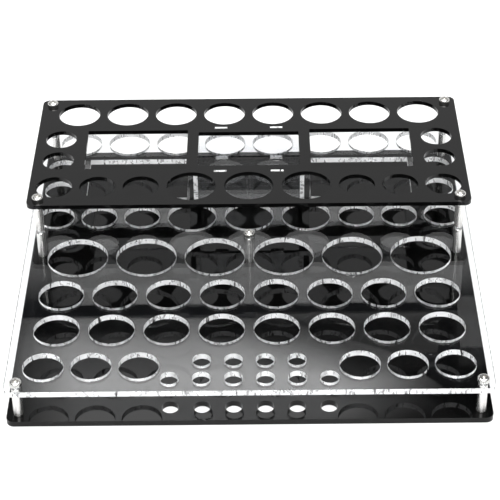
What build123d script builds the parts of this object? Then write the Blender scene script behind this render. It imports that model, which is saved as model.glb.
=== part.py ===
from build123d import *
from math import cos, radians, tan
import os

# Paint rack organizer: three sheets of acrylic stacked on round metal standoffs.
# A black base carries a clear shelf full of round holes for bottles and tools, and a
# smaller black top plate at the back holds the bottles of the rear rows upright.
# Millimetres. X runs to the right, Y to the back and Z up. The origin is the middle
# of the base plate's underside, the face that the rack stands on.

# ---- overall sizes
plate_width = 305.0  # all three plates
plate_depth = 305.0  # base and shelf
corner_radius = 5.0
base_thickness = 4.0
shelf_thickness = 4.0
top_thickness = 3.0

# ---- standoffs and screws (M4)
lower_gap = 20.0  # clear height between base and shelf
upper_gap = 22.0  # clear height between shelf and top plate
standoff_diameter = 6.0
standoff_chamfer = 0.4
standoff_inset = 7.5  # from a plate's edges to a corner standoff's axis
thread_diameter = 4.0
thread_pitch = 0.7
thread_depth = 0.3
thread_clearance = 0.05  # between a male thread's crest and the hole it runs in, on the radius
tapped_depth = 8.0
stud_length = 9.5  # the male end of an upper standoff
screw_length = 10.0  # under a pan head, or overall on a countersunk screw
screw_hole_clearance = 0.2  # around a thread in a plate, on the radius
pan_head_diameter = 7.8
pan_head_height = 3.0
pan_head_round = 1.3  # radius of its rounded shoulder
countersunk_diameter = 7.4
countersink_neck = 0.3  # how far a countersunk head's narrow end lies inside its thread
countersink_clearance = 0.05  # measured square to the cone
recess_span = 4.4  # cross recess, over its wings
recess_width = 1.1
recess_depth = 1.6
recess_taper = 8.0  # degrees

# ---- holes, each with the land that is left between neighbours of its row
pot_diameter, pot_land = 30.0, 5.5
jar_diameter, jar_land = 41.0, 5.6
vial_diameter, vial_land = 26.0, 4.0
dropper_diameter, dropper_land = 25.0, 5.0
flask_diameter, flask_land = 34.0, 6.0  # the wider holes in the dropper row
side_diameter, side_land = 22.0, 6.0
tool_diameter, tool_land = 12.0, 8.0
tool_tip_diameter = 11.0  # holes in the base under the front tool holes

row_margin = 10.0  # least land from a row's end to the side of the plate
vials_per_side = 3
side_holes_per_side = 2
flask_count = 3
front_tool_count = 6
back_tool_count = 4
tool_row_spacing = 17.5

# ---- lands from front to back
front_tool_land = 6.5  # plate edge to front tool row
front_vial_land = 12.0  # plate edge to vial row
least_pot_land = 6.0  # vial row to the pot row behind it
pot_row_land = 7.0  # between two pot rows
jar_pot_land = 6.5  # jar row to the pot row in front of it
jar_top_land = 5.0  # jar row to the top plate's front edge, seen from above
top_front_land = 5.5  # top plate's front edge to its flask holes
centre_post_gap = 7.0  # flask holes to the centre standoff's axis
flask_bin_gap = 0.5  # flask holes to the bin's front wall
window_pot_land = 7.5  # windows to the rear pot row
rear_land = 6.0  # rear pot row to the plates' rear edge
side_edge_land = 6.5  # side holes to the side of the plate
dropper_edge_land = 5.0  # outermost dropper hole to the side of the plate

# ---- windows in the top plate, and the bin under the middle one
window_width = 72.0
window_depth = 50.0
window_gap = 8.0
window_corner = 0.6
centre_window_depth = 44.0
bin_depth = 54.0  # inside, front to back
wall_thickness = 3.0
tab_width = 9.0
tab_spacing = 40.0
tab_clearance = 0.1  # on each side of a tab
tab_recess = 0.6  # from a tab's end up to the top plate's face

# ---- what follows from them
screw_hole_diameter = thread_diameter + 2 * screw_hole_clearance
half_width = plate_width / 2
half_depth = plate_depth / 2
shelf_z = base_thickness + lower_gap
shelf_top_z = shelf_z + shelf_thickness
top_z = shelf_top_z + upper_gap
top_top_z = top_z + top_thickness

rear_pot_y = half_depth - rear_land - pot_diameter / 2
window_y = rear_pot_y - pot_diameter / 2 - window_pot_land - window_depth / 2
bin_half_depth = bin_depth / 2 + wall_thickness
dropper_y = window_y - bin_half_depth - flask_bin_gap - flask_diameter / 2
top_front_y = dropper_y - flask_diameter / 2 - top_front_land
centre_post_y = dropper_y - flask_diameter / 2 - centre_post_gap
jar_y = top_front_y - jar_top_land - jar_diameter / 2
vial_y = front_vial_land + vial_diameter / 2 - half_depth
front_tool_y = front_tool_land + tool_diameter / 2 - half_depth
back_tool_y = front_tool_y + tool_row_spacing
window_x = window_width + window_gap
side_x = half_width - side_edge_land - side_diameter / 2


def spread(count, pitch):
    """Positions of count things at an even pitch about zero."""
    return [(i - (count - 1) / 2) * pitch for i in range(count)]


def how_many(length, diameter, land):
    """How many holes fit in a length with a land between each two."""
    return max(0, int((length + land) // (diameter + land)))


def full_row(y, diameter, land):
    """A row of holes across the plate, as many as fit between its margins."""
    count = how_many(plate_width - 2 * row_margin, diameter, land)
    return [(x, y) for x in spread(count, diameter + land)]


def pot_rows():
    """Middles of the pot rows in front of the jar row, from back to front."""
    space = (jar_y - jar_diameter / 2 - jar_pot_land) - (vial_y + vial_diameter / 2 + least_pot_land)
    first = jar_y - jar_diameter / 2 - jar_pot_land - pot_diameter / 2
    pitch = pot_diameter + pot_row_land
    return [first - i * pitch for i in range(how_many(space, pot_diameter, pot_row_land))]


def vial_holes():
    outer = half_width - row_margin - vial_diameter / 2
    xs = [outer - i * (vial_diameter + vial_land) for i in range(vials_per_side)]
    return [(side * x, vial_y) for side in (-1, 1) for x in xs]


def dropper_holes():
    """Dropper holes from each side inwards, as many as fit beside the flask holes."""
    outer = half_width - dropper_edge_land
    inner = (flask_count * (flask_diameter + flask_land)) / 2 + dropper_land - flask_land / 2
    count = how_many(outer - inner, dropper_diameter, dropper_land)
    pitch = dropper_diameter + dropper_land
    xs = [outer - dropper_diameter / 2 - i * pitch for i in range(count)]
    return [(side * x, dropper_y) for side in (-1, 1) for x in xs]


def side_holes():
    ys = [window_y + y for y in spread(side_holes_per_side, side_diameter + side_land)]
    return [(side * side_x, y) for side in (-1, 1) for y in ys]


# The places of every row, used by all the plates that the row goes through.
rear_pots = full_row(rear_pot_y, pot_diameter, pot_land)
front_pots = [place for y in pot_rows() for place in full_row(y, pot_diameter, pot_land)]
jars = full_row(jar_y, jar_diameter, jar_land)
vials = vial_holes()
droppers = dropper_holes()
flasks = [(x, dropper_y) for x in spread(flask_count, flask_diameter + flask_land)]
sides = side_holes()
tool_pitch = tool_diameter + tool_land
front_tools = [(x, front_tool_y) for x in spread(front_tool_count, tool_pitch)]
back_tools = [(x, back_tool_y) for x in spread(back_tool_count, tool_pitch)]
tools = front_tools + back_tools
windows = [(side * window_x, window_y) for side in (-1, 1)]

post_x = half_width - standoff_inset
upper_posts = {
    "middle_left": (-post_x, top_front_y + standoff_inset),
    "middle_right": (post_x, top_front_y + standoff_inset),
    "rear_left": (-post_x, half_depth - standoff_inset),
    "rear_right": (post_x, half_depth - standoff_inset),
}
shelf_posts = {
    "front_left": (-post_x, standoff_inset - half_depth),
    "front_right": (post_x, standoff_inset - half_depth),
    "centre": (0.0, centre_post_y),
}
lower_posts = upper_posts | shelf_posts


def circles(places, diameter):
    return [Pos(x, y) * Circle(diameter / 2) for x, y in places]


def rectangles(places, width, depth, corner):
    shape = RectangleRounded(width, depth, corner) if corner else Rectangle(width, depth)
    return [Pos(x, y) * shape for x, y in places]


def tab_slots():
    """Slots that the tabs of the bin's front and back walls pass through."""
    y = bin_half_depth - wall_thickness / 2
    places = [(x, window_y + side * y) for side in (-1, 1) for x in spread(2, tab_spacing)]
    return rectangles(places, tab_width + 2 * tab_clearance, wall_thickness + 2 * tab_clearance, 0)


def plate(depth, middle_y, cutouts, thickness, z):
    outline = Pos(0, middle_y) * RectangleRounded(plate_width, depth, corner_radius)
    return extrude(Pos(0, 0, z) * (outline - cutouts), thickness)


def base_plate():
    cutouts = circles(lower_posts.values(), screw_hole_diameter) + circles(front_tools, tool_tip_diameter)
    solid = plate(plate_depth, 0, cutouts, base_thickness, 0)
    seat = countersunk_head(countersink_clearance / cos(radians(45)))
    return solid - [Pos(x, y, 0) * seat for x, y in lower_posts.values()]


def rear_cutouts():
    """Holes that the top plate and the shelf have in common."""
    cutouts = circles(rear_pots, pot_diameter) + circles(sides, side_diameter)
    cutouts += circles(droppers, dropper_diameter) + circles(flasks, flask_diameter)
    return cutouts + rectangles(windows, window_width, window_depth, window_corner) + tab_slots()


def shelf_plate():
    cutouts = rear_cutouts() + circles(lower_posts.values(), screw_hole_diameter)
    cutouts += circles(jars, jar_diameter) + circles(front_pots, pot_diameter)
    cutouts += circles(vials, vial_diameter) + circles(tools, tool_diameter)
    return plate(plate_depth, 0, cutouts, shelf_thickness, shelf_z)


def top_plate():
    cutouts = rear_cutouts() + circles(upper_posts.values(), screw_hole_diameter)
    cutouts += rectangles([(0, window_y)], window_width, centre_window_depth, window_corner)
    depth = half_depth - top_front_y
    return plate(depth, half_depth - depth / 2, cutouts, top_thickness, top_z)


def bin_cross_wall(side):
    """Front (-1) or back (1) wall, with two tabs up into the top plate and two down into the shelf."""
    outline = Pos(0, shelf_top_z + upper_gap / 2) * Rectangle(window_width, upper_gap)
    height = top_top_z - tab_recess - shelf_z
    for x in spread(2, tab_spacing):
        outline += Pos(x, shelf_z + height / 2) * Rectangle(tab_width, height)
    front_y = window_y + side * (bin_half_depth - wall_thickness / 2) - wall_thickness / 2
    return Pos(0, front_y, 0) * extrude(Plane.XZ * outline, -wall_thickness)


def bin_side_wall(side):
    x = side * (window_width / 2 + wall_thickness / 2)
    size = (wall_thickness, 2 * bin_half_depth, upper_gap)
    return Pos(x, window_y, shelf_top_z + upper_gap / 2) * Box(*size)


def male_thread(length):
    """A threaded rod from z = 0 down, as a row of V grooves, with a pointed lead at its end."""
    crest = thread_diameter / 2 - thread_clearance
    root = crest - thread_depth
    turns = int((length - thread_pitch) / thread_pitch)
    points = [(0, 0), (crest, 0)]
    for i in range(turns):
        z = -i * thread_pitch
        points += [(crest, z - thread_pitch * 0.3), (root, z - thread_pitch * 0.65), (crest, z - thread_pitch)]
    points += [(crest, thread_depth - length), (root, -length), (0, -length)]
    return revolve(Plane.XZ * Polygon(*points, align=None), Axis.Z)


def cross_recess():
    """The driver recess, from z = 0 down."""
    cross = Rectangle(recess_span, recess_width) + Rectangle(recess_width, recess_span)
    return extrude(cross, -recess_depth, taper=recess_taper)


def pan_screw():
    """Pan head above z = 0, thread below it."""
    head = Pos(0, 0, pan_head_height / 2) * Cylinder(pan_head_diameter / 2, pan_head_height)
    head = fillet(head.edges().sort_by(Axis.Z)[-1], pan_head_round)
    return head + male_thread(screw_length) - Pos(0, 0, pan_head_height) * cross_recess()


def countersunk_head(grown=0.0):
    """A 90 degree cone with its wide end down at z = 0, grown outwards for its seat."""
    root = thread_diameter / 2 - countersink_neck
    wide = countersunk_diameter / 2 + grown
    height = wide - root
    return Pos(0, 0, height / 2) * Cone(wide, root, height)


def countersunk_screw():
    """Wide end of the head at z = 0, thread above it."""
    thread = Rot(180, 0, 0) * male_thread(screw_length)
    return countersunk_head() + thread - Rot(180, 0, 0) * cross_recess()


def standoff(length, stud):
    """A round post standing on z = 0, tapped at its top, and tapped or with a stud below."""
    post = Pos(0, 0, length / 2) * Cylinder(standoff_diameter / 2, length)
    post = chamfer(post.edges(), standoff_chamfer)
    tapped = Pos(0, 0, -tapped_depth / 2) * Cylinder(thread_diameter / 2, tapped_depth)
    tapped += Pos(0, 0, -tapped_depth) * drill_point()
    post -= Pos(0, 0, length) * tapped
    if stud:
        return post + male_thread(stud_length)
    return post - Rot(180, 0, 0) * tapped


def drill_point():
    height = thread_diameter / 2 * tan(radians(31))
    return Pos(0, 0, -height / 2) * Cone(0, thread_diameter / 2, height)


def all_nodes():
    nodes = {
        "base_plate": base_plate(),
        "shelf_plate": shelf_plate(),
        "top_plate": top_plate(),
        "bin_front_wall": bin_cross_wall(-1),
        "bin_back_wall": bin_cross_wall(1),
        "bin_left_wall": bin_side_wall(-1),
        "bin_right_wall": bin_side_wall(1),
    }
    pan, countersunk = pan_screw(), countersunk_screw()
    lower, upper = standoff(lower_gap, False), standoff(upper_gap, True)
    for name, (x, y) in lower_posts.items():
        nodes[f"lower_standoff_{name}"] = Pos(x, y, base_thickness) * lower
        nodes[f"base_screw_{name}"] = Pos(x, y, 0) * countersunk
    for name, (x, y) in upper_posts.items():
        nodes[f"upper_standoff_{name}"] = Pos(x, y, shelf_top_z) * upper
        nodes[f"top_screw_{name}"] = Pos(x, y, top_top_z) * pan
    for name, (x, y) in shelf_posts.items():
        nodes[f"shelf_screw_{name}"] = Pos(x, y, shelf_top_z) * pan
    return nodes


os.makedirs("parts", exist_ok=True)
for name, shape in all_nodes().items():
    export_step(shape, f"parts/{name}.step")
print(f"plates {plate_width:g} x {plate_depth:g} mm, {top_top_z + pan_head_height:g} mm high with screws")
print(f"rear pots {len(rear_pots)}, front pots {len(front_pots)}, jars {len(jars)}, vials {len(vials)}")
print(f"droppers {len(droppers)}, flasks {len(flasks)}, side holes {len(sides)}, tool holes {len(tools)}")
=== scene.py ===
# %% [markdown]
# # A paint rack in clear and black acrylic
#
# The real rack is three laser-cut acrylic sheets: a black base, a clear shelf
# with many round holes above it, and a black deck over the back half. Round
# metal standoffs hold the sheets apart, and small screws hold the stack
# together. The shapes come finished from CAD. This lesson gives them their
# finishes and puts a camera and a pale studio around them.

# %% [markdown]
# ## The finished shapes
#
# A model could be built in Blender or brought in from CAD. Here a fixed frame
# is loaded, because holes, fits and sizes are already right in it, and looks
# are all that is left to do.

# %% Load the rack
import math

import bpy
from mathutils import Matrix, Vector


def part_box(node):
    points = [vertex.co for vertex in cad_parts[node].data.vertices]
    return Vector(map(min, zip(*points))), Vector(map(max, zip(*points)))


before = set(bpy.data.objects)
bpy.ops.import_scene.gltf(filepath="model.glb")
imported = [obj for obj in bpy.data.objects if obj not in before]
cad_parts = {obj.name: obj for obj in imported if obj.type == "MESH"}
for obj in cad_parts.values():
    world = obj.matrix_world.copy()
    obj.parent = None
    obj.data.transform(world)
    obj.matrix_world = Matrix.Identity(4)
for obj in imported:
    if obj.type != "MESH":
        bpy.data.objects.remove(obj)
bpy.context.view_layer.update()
MM = 0.001

# %% [markdown]
# ## The camera
#
# The view is from the front and well above, through a long lens from more than
# a metre away, so that edges which run to the back stay close to parallel. The
# camera could be aimed by a constraint. Here its axes are worked out, because
# it also leans by under a degree, as a camera on a hand-levelled tripod does.

# %% Camera
ELEVATION = math.radians(35.977)
AZIMUTH = math.radians(0.363)
LEAN = math.radians(-0.744)
DISTANCE = 1222.6 * MM
SHELF_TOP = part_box("shelf_plate")[1][2]
LOOK_AT = Vector((0.59 * MM, -5.31 * MM, SHELF_TOP))
FOCAL_LENGTH_MM = 129.02

back = Vector(
    (
        math.sin(AZIMUTH) * math.cos(ELEVATION),
        -math.cos(AZIMUTH) * math.cos(ELEVATION),
        math.sin(ELEVATION),
    )
)
level_right = (-back).cross(Vector((0, 0, 1))).normalized()
level_up = level_right.cross(-back)
right = math.cos(LEAN) * level_right + math.sin(LEAN) * level_up
up = -math.sin(LEAN) * level_right + math.cos(LEAN) * level_up

camera_data = bpy.data.cameras.new("camera")
camera_data.lens = FOCAL_LENGTH_MM
camera = bpy.data.objects.new("camera", camera_data)
turned = Matrix((right, up, back)).transposed().to_4x4()
camera.matrix_world = Matrix.Translation(LOOK_AT + back * DISTANCE) @ turned
bpy.context.scene.collection.objects.link(camera)
bpy.context.scene.camera = camera
print("camera at", [round(v, 3) for v in camera.location], "m")

# %% [markdown]
# ## Colours and nodes
#
# A finish is a small tree of shader nodes. It could be wired by hand in the
# shader editor. Written in code it can be read from top to bottom, so one
# helper adds any node with its settings and links. Colours are written as
# sRGB hex, as a paint chart gives them, and turned into the linear values
# that light is worked out in.


# %% Helpers
def colour(sheet_hex):
    """An sRGB hex colour as linear red, green, blue and alpha."""
    parts = [int(sheet_hex[i : i + 2], 16) / 255 for i in (1, 3, 5)]
    return [p / 12.92 if p <= 0.04045 else ((p + 0.055) / 1.055) ** 2.4 for p in parts] + [1]


def add(tree, kind, inputs=(), **settings):
    """Adds a node. Each input, by name or number, takes a value or another node's output."""
    node = tree.nodes.new("ShaderNode" + kind)
    for name, value in settings.items():
        setattr(node, name, value)
    for name, value in dict(inputs).items():
        if isinstance(value, bpy.types.NodeSocket):
            tree.links.new(value, node.inputs[name])
        else:
            node.inputs[name].default_value = value
    return node


def new_finish(name):
    """A new material with an empty node tree, and that tree."""
    material = bpy.data.materials.new(name)
    material.use_nodes = True
    material.node_tree.nodes.clear()
    return material, material.node_tree


print("black acrylic's colour in linear light:", [round(v, 4) for v in colour("#060606")])

# %% [markdown]
# ## Polished faces and cut edges
#
# Cast acrylic comes with two mirror-smooth faces. The laser melts its edges,
# which stay glossy but carry fine lines through the thickness of the sheet.
# The two could be told apart by painting faces in edit mode. Here the normal
# tells them: it lies along the sheet's thickness on a polished face only.
# The lines are a noise that is drawn out along the thickness.

# %% Where the laser cut
PER_METRE = 1 / MM  # noise of this scale has one blob to a millimetre
CUT_LINE_MM = 0.7  # real lines are 0.1 mm apart; drawn coarser, so that they show
LINE_SQUEEZE = 0.03  # draws a blob out so far that it crosses the whole sheet
BUMP_DEPTH = 0.1 * MM  # the depth that a full bump stands for


def is_polished(tree, thickness_axis):
    """1 on the sheet's two polished faces and 0 on its cut edges."""
    normal = add(tree, "NewGeometry").outputs["Normal"]
    along = add(tree, "SeparateXYZ", {0: normal}).outputs[thickness_axis]
    size = add(tree, "Math", {0: along}, operation="ABSOLUTE").outputs[0]
    return add(tree, "Math", {0: size, 1: 0.5}, operation="GREATER_THAN").outputs[0]


def cut_pattern(tree, thickness_axis, spacing_mm, squeeze):
    """Noise with blobs spacing_mm long on a cut edge, and longer by 1 / squeeze across it."""
    stretch = [1, 1, 1]
    stretch["XYZ".index(thickness_axis)] = squeeze
    place = add(tree, "TexCoord").outputs["Object"]
    squeezed = add(tree, "Mapping", {"Vector": place, "Scale": stretch}).outputs[0]
    settings = {"Vector": squeezed, "Scale": PER_METRE / spacing_mm, "Detail": 3}
    return add(tree, "TexNoise", settings).outputs["Fac"]


print("cut lines", CUT_LINE_MM, "mm apart")

# %% [markdown]
# ## Black cast acrylic
#
# The base and the deck are cast acrylic (PMMA) coloured all through with black.
# It could be shaded as plain black plastic, but it is known by what it
# reflects: a deep black with a thin clear reflection of the room. So the body
# colour is nearly nothing, the index of refraction is that of acrylic, and a
# faint uneven haze keeps the reflection from being a perfect mirror. The edges
# carry the laser's lines and are a little duller than the faces.

# %% Black cast acrylic
ACRYLIC_IOR = 1.49
SHINE = 0.25  # half the usual mirror strength, matched to how dark the real sheets look
CUT_ROUGHNESS = 0.07
HAZE_MM = 40  # cloudy patches left by wiping

black_acrylic, tree = new_finish("black_cast_acrylic")
polished = is_polished(tree, "Z")
lines = cut_pattern(tree, "Z", CUT_LINE_MM, LINE_SQUEEZE)
place = add(tree, "TexCoord").outputs["Object"]
clouds = {"Vector": place, "Scale": PER_METRE / HAZE_MM, "Detail": 6}
haze = add(tree, "TexNoise", clouds).outputs["Fac"]
face_roughness = add(
    tree,
    "MapRange",
    {"Value": haze, "From Min": 0.3, "From Max": 0.75, "To Min": 0.02, "To Max": 0.07},
).outputs[0]
roughness = add(tree, "Mix", {0: polished, 2: CUT_ROUGHNESS, 3: face_roughness}).outputs[0]
height = add(tree, "Mix", {0: polished, 2: lines, 3: haze}).outputs[0]
bump = add(tree, "Bump", {"Height": height, "Strength": 0.05, "Distance": BUMP_DEPTH})
shader = add(
    tree,
    "BsdfPrincipled",
    {
        "Base Color": colour("#060606"),
        "Roughness": roughness,
        "IOR": ACRYLIC_IOR,
        "Specular IOR Level": SHINE,
        "Normal": bump.outputs[0],
    },
)
add(tree, "OutputMaterial", {"Surface": shader.outputs[0]})
print(black_acrylic.name, "has", len(tree.nodes), "nodes")

# %% [markdown]
# ## Clear cast acrylic
#
# The shelf and the four walls of the bin are clear cast acrylic. It could be
# faked with an alpha value, but then its edges would vanish too, and bright
# edges are what the eye finds a clear sheet by. So it is real refraction, with
# water-clear faces. On the cut edges the melted skin scatters light and glows
# white, more in some patches than in others, and here and there a clear tick
# through the sheet, where the beam slowed, shows what is dark behind it. The
# material is made once for each way that a sheet can face.

# %% Clear cast acrylic
PATCH_MM = 3.0  # cloudy and clearer stretches of the melted skin
TICK_MM = 2.0  # clear ticks through the sheet


def clear_acrylic(thickness_axis):
    """Clear sheet whose polished faces look along that axis."""
    material, tree = new_finish("clear_cast_acrylic_" + thickness_axis.lower())
    polished = is_polished(tree, thickness_axis)
    lines = cut_pattern(tree, thickness_axis, CUT_LINE_MM, LINE_SQUEEZE)
    patches = cut_pattern(tree, thickness_axis, PATCH_MM, 0.6)
    ticks = cut_pattern(tree, thickness_axis, TICK_MM, 0.2)
    clearer = {"Value": patches, "From Min": 0.4, "From Max": 0.82}
    ticked = {"Value": ticks, "From Min": 0.57, "From Max": 0.65}
    melted = {
        0: add(tree, "MapRange", clearer).outputs[0],
        1: add(tree, "MapRange", ticked).outputs[0],
    }
    clear_skin = add(tree, "Math", melted, operation="MAXIMUM").outputs[0]
    # Cloudy skin is rough and lets little through. Clear skin is nearly as good as polished.
    clearness = add(tree, "Mix", {0: clear_skin, 2: 0.2, 3: 0.95}).outputs[0]
    edge_roughness = add(tree, "Mix", {0: clear_skin, 2: 0.45, 3: 0.05}).outputs[0]
    bump = add(tree, "Bump", {"Height": lines, "Strength": 0.2, "Distance": BUMP_DEPTH})
    plain = add(tree, "NewGeometry").outputs["Normal"]
    normal = add(tree, "Mix", {0: polished, 4: bump.outputs[0], 5: plain}, data_type="VECTOR")
    shader = add(
        tree,
        "BsdfPrincipled",
        {
            "Base Color": colour("#fcfdfe"),
            "Roughness": add(tree, "Mix", {0: polished, 2: edge_roughness, 3: 0.0}).outputs[0],
            "IOR": ACRYLIC_IOR,
            "Transmission Weight": add(tree, "Mix", {0: polished, 2: clearness, 3: 1.0}).outputs[0],
            "Normal": normal.outputs[1],
        },
    )
    add(tree, "OutputMaterial", {"Surface": shader.outputs[0]})
    return material


clear_lying, clear_across, clear_along = (clear_acrylic(axis) for axis in "ZYX")
print("clear acrylic for sheets that lie, stand across and stand along")

# %% [markdown]
# ## Turned aluminium
#
# The standoffs are drawn aluminium bar, turned to length and polished on the
# lathe. The die leaves faint lines along the bar, and the polishing leaves
# rings around it, which draw each highlight out along the post. Together they
# give the crisp upright streaks that the eye reads as a round, bright rod.
# Real grooves would cost a great many faces. Here a bump makes the die's
# lines, and roughness that differs by direction stands for the rings.

# %% Turned aluminium
DIE_LINE_MM = 1.1  # real lines are finer; drawn coarser, so that they show
DIE_SQUEEZE = 0.01  # draws each line out along the bar
QUARTER_TURN = 0.25  # lays the highlight along the post

turned_aluminium, tree = new_finish("turned_aluminium")
place = add(tree, "TexCoord").outputs["Object"]
drawn_out = add(tree, "Mapping", {"Vector": place, "Scale": (1, 1, DIE_SQUEEZE)}).outputs[0]
streaks = {"Vector": drawn_out, "Scale": PER_METRE / DIE_LINE_MM}
die_lines = add(tree, "TexNoise", streaks).outputs["Fac"]
roughness = add(tree, "MapRange", {"Value": die_lines, "To Min": 0.18, "To Max": 0.34}).outputs[0]
bump = add(tree, "Bump", {"Height": die_lines, "Strength": 0.6, "Distance": BUMP_DEPTH})
shader = add(
    tree,
    "BsdfPrincipled",
    {
        "Base Color": colour("#e2e1df"),
        "Metallic": 1.0,
        "Roughness": roughness,
        "Anisotropic": 1.0,
        "Anisotropic Rotation": QUARTER_TURN,
        "Tangent": add(tree, "Tangent", direction_type="RADIAL", axis="Z").outputs[0],
        "Normal": bump.outputs[0],
    },
)
add(tree, "OutputMaterial", {"Surface": shader.outputs[0]})
print(turned_aluminium.name, "has die lines", DIE_LINE_MM, "mm apart")

# %% [markdown]
# ## Nickel-plated steel
#
# The screws are pressed from steel wire and nickel plated. Plating is bright
# but follows the pressed surface under it, so small uneven spots break up its
# reflection. A stainless look would be greyer and more even. Grain of about
# half a millimetre, in roughness and a faint bump, gives the sparkle of plating.

# %% Nickel-plated steel
GRAIN_MM = 0.6  # real grain is finer; drawn coarser, so that it shows
GRAIN_DEPTH = 0.03 * MM

plated_steel, tree = new_finish("nickel_plated_steel")
place = add(tree, "TexCoord").outputs["Object"]
spots = {"Vector": place, "Scale": PER_METRE / GRAIN_MM, "Detail": 4}
grain = add(tree, "TexNoise", spots).outputs["Fac"]
roughness = add(tree, "MapRange", {"Value": grain, "To Min": 0.1, "To Max": 0.24}).outputs[0]
bump = add(tree, "Bump", {"Height": grain, "Strength": 0.1, "Distance": GRAIN_DEPTH})
shader = add(
    tree,
    "BsdfPrincipled",
    {
        "Base Color": colour("#d8d7d4"),
        "Metallic": 1.0,
        "Roughness": roughness,
        "Normal": bump.outputs[0],
    },
)
add(tree, "OutputMaterial", {"Surface": shader.outputs[0]})
print(plated_steel.name, "has grain of", GRAIN_MM, "mm")

# %% [markdown]
# ## Dressing the pieces
#
# Each piece is one thing made of one material, so a table from the start of
# its name to its finish is enough. Materials could also be put on by hand, but
# a table shows at once that no piece was missed.

# %% Dress the pieces
FINISHES = {
    "base_plate": black_acrylic,
    "top_plate": black_acrylic,
    "shelf_plate": clear_lying,
    "bin_front": clear_across,
    "bin_back": clear_across,
    "bin_left": clear_along,
    "bin_right": clear_along,
    "lower_standoff": turned_aluminium,
    "upper_standoff": turned_aluminium,
    "base_screw": plated_steel,
    "shelf_screw": plated_steel,
    "top_screw": plated_steel,
}
for name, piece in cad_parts.items():
    (chosen,) = [finish for start, finish in FINISHES.items() if name.startswith(start)]
    piece.data.materials.clear()
    piece.data.materials.append(chosen)
print(len(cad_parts), "pieces dressed")

# %% [markdown]
# ## The floor and the panels
#
# Polished black shows the room more than itself, so the studio is part of the
# finish. The rack stands on a white table. Behind it hangs a softbox, which
# the front of the shelf mirrors as a pale sheen with a slanted right end, and
# under that a backdrop, which the deck mirrors as an even dark grey. An image
# of a studio could light the scene instead. Panels are used because each one
# can be placed where a reflection needs it.


# %% Panels
def panel(name, corners, paint, glow):
    """Hangs a flat stage panel. glow is a strength, or a function that adds nodes for one."""
    mesh = bpy.data.meshes.new(name)
    mesh.from_pydata(corners, [], [range(len(corners))])
    made = bpy.data.objects.new(name, mesh)
    bpy.context.scene.collection.objects.link(made)
    lit, tree = new_finish(name)
    shader = add(
        tree,
        "BsdfPrincipled",
        {
            "Base Color": colour(paint),
            "Roughness": 0.9,
            "Emission Color": colour("#ffffff"),
            "Emission Strength": glow(tree) if callable(glow) else glow,
        },
    )
    add(tree, "OutputMaterial", {"Surface": shader.outputs[0]})
    mesh.materials.append(lit)


def upright(y, outline):
    """The corners of a panel that stands across the view at that y."""
    return [(x, y, z) for x, z in outline]


def box_outline(left, right, bottom, top):
    """The four corners of a rectangle with those limits."""
    return [(left, bottom), (right, bottom), (right, top), (left, top)]


HALF_FLOOR = 6.0
FLOOR_DROP = 0.1 * MM
TABLE_WHITE, TABLE_GLOW = "#c4c4c4", 0.42
BLACK_PAINT = "#101010"
BACKDROP_Y = 2.5
SHOULDER = 1.80  # up to here the backdrop is wide, and above it narrow
WIDE_GLOW, NARROW_GLOW = 0.85, 0.82

floor_outline = box_outline(-HALF_FLOOR, HALF_FLOOR, -HALF_FLOOR, HALF_FLOOR)
wide = box_outline(-2.5, 2.5, 0.0, SHOULDER)
narrow = box_outline(-0.5, 0.5, SHOULDER, 2.008)
panel("floor", [(x, y, -FLOOR_DROP) for x, y in floor_outline], TABLE_WHITE, TABLE_GLOW)
panel("backdrop", upright(BACKDROP_Y, wide), BLACK_PAINT, WIDE_GLOW)
panel("backdrop_top", upright(BACKDROP_Y, narrow), BLACK_PAINT, NARROW_GLOW)
print("floor and backdrop stand")

# %% [markdown]
# ## The softbox
#
# A softbox is a lamp in a fabric tent: brightest in the middle and dimmer near
# its frame. Its glow here is a product of four ramps, one each for its lower
# edge, its left end, the slanted corner at its right and its sloping top. A
# single even glow would leave hard steps in the shelf's sheen.

# %% Softbox
SOFTBOX_Y = 1.6
SOFTBOX_GLOW = 2.6
SLANT = 0.56  # rise of the slanted corner for each metre to the right
TOP_SLOPE = 0.35  # fall of its upper edge for each metre to the right


def softbox_glow(tree):
    """The softbox's strength at each spot, dimmed towards its edges."""
    spot = add(tree, "SeparateXYZ", {0: add(tree, "TexCoord").outputs["Object"]}).outputs
    slant = {0: spot["X"], 1: -SLANT, 2: spot["Z"]}
    aslant = add(tree, "Math", slant, operation="MULTIPLY_ADD").outputs[0]
    slope = {0: spot["X"], 1: TOP_SLOPE, 2: spot["Z"]}
    sloping = add(tree, "Math", slope, operation="MULTIPLY_ADD").outputs[0]
    glowing = SOFTBOX_GLOW
    # What each ramp goes by, where it starts, where it is full, and how dim it starts.
    for value, start, end, dimmest in (
        (spot["Z"], 1.345, 1.48, 0.34),
        (aslant, 1.32, 1.43, 0.2),
        (spot["X"], -0.47, -0.34, 0.1),
        (sloping, 1.65, 1.585, 0.1),
    ):
        limits = {"Value": value, "From Min": start, "From Max": end, "To Min": dimmest}
        ramp = add(tree, "MapRange", limits)
        both = {0: ramp.outputs[0], 1: glowing}
        glowing = add(tree, "Math", both, operation="MULTIPLY").outputs[0]
    return glowing


lower_edge = [(-0.6, 1.34), (0.04, 1.348), (0.245, 1.427), (0.35, 1.514), (0.55, 1.7)]
softbox = lower_edge + [(0.55, 2.2), (-0.6, 2.2)]
panel("rear_softbox", upright(SOFTBOX_Y, softbox), BLACK_PAINT, softbox_glow)

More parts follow.
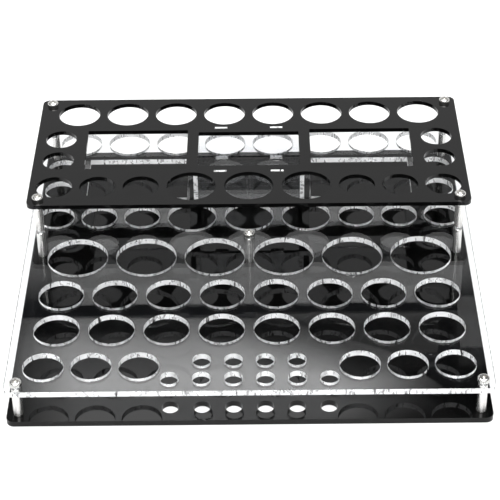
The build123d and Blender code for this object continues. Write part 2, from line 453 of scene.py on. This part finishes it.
# A dim board just behind its slanted corner, and a strip to the right of it.
spill = box_outline(0.0, 0.34, 1.342, 1.44)
strip = [(0.366, 1.30), (0.45, 1.30), (0.45, 1.42), (0.38, 1.42)]
panel("spill_board", upright(SOFTBOX_Y + 0.01, spill), BLACK_PAINT, 0.13)
panel("side_strip", upright(SOFTBOX_Y, strip), BLACK_PAINT, 0.35)
print("softbox", SOFTBOX_GLOW, "times white")

# %% [markdown]
# ## Lamps and room
#
# Two broad lamps above and in front light the cut edges and the metal without
# hard shadows. The rest of the room is a sky of one colour for each height,
# near white at the horizon and dark overhead, so that the black sheets stay
# black from every side. A plain white room would turn them grey.


# %% Lamps
def lamp(name, place, width, depth, watts):
    """A rectangular area lamp that points at the rack."""
    data = bpy.data.lights.new(name, "AREA")
    data.shape, data.size, data.size_y, data.energy = "RECTANGLE", width, depth, watts
    made = bpy.data.objects.new(name, data)
    made.location = place
    made.rotation_euler = (LOOK_AT - Vector(place)).to_track_quat("-Z", "Y").to_euler()
    bpy.context.scene.collection.objects.link(made)


lamp("overhead", (0, 0, 1.8), 2.0, 2.0, 52)
lamp("front_bank", (0, -1.5, 1.9), 1.6, 0.9, 48)
print("two lamps")

# %% Room
ROOM = {  # sine of the height angle: colour
    0.0: "#ffffff",
    0.12: "#f0f0f0",
    0.35: "#cccccc",
    0.59: "#bcbcbc",
    0.606: "#3a3c40",
    0.62: "#3a3c40",
    0.66: "#202020",
    1.0: "#404040",
}
room = bpy.data.worlds.new("studio")
bpy.context.scene.world = room
room.use_nodes = True
tree = room.node_tree
height = add(tree, "SeparateXYZ", {0: add(tree, "TexCoord").outputs["Generated"]}).outputs["Z"]
bands = add(tree, "ValToRGB", {0: height})
for at in list(ROOM)[1:-1]:
    bands.color_ramp.elements.new(at)
for element, (at, shade) in zip(bands.color_ramp.elements, ROOM.items()):
    element.position, element.color = at, colour(shade)
tree.links.new(bands.outputs[0], tree.nodes["Background"].inputs["Color"])
bpy.context.scene.view_settings.view_transform = "Standard"
print(len(ROOM), "colours from the horizon to straight up")
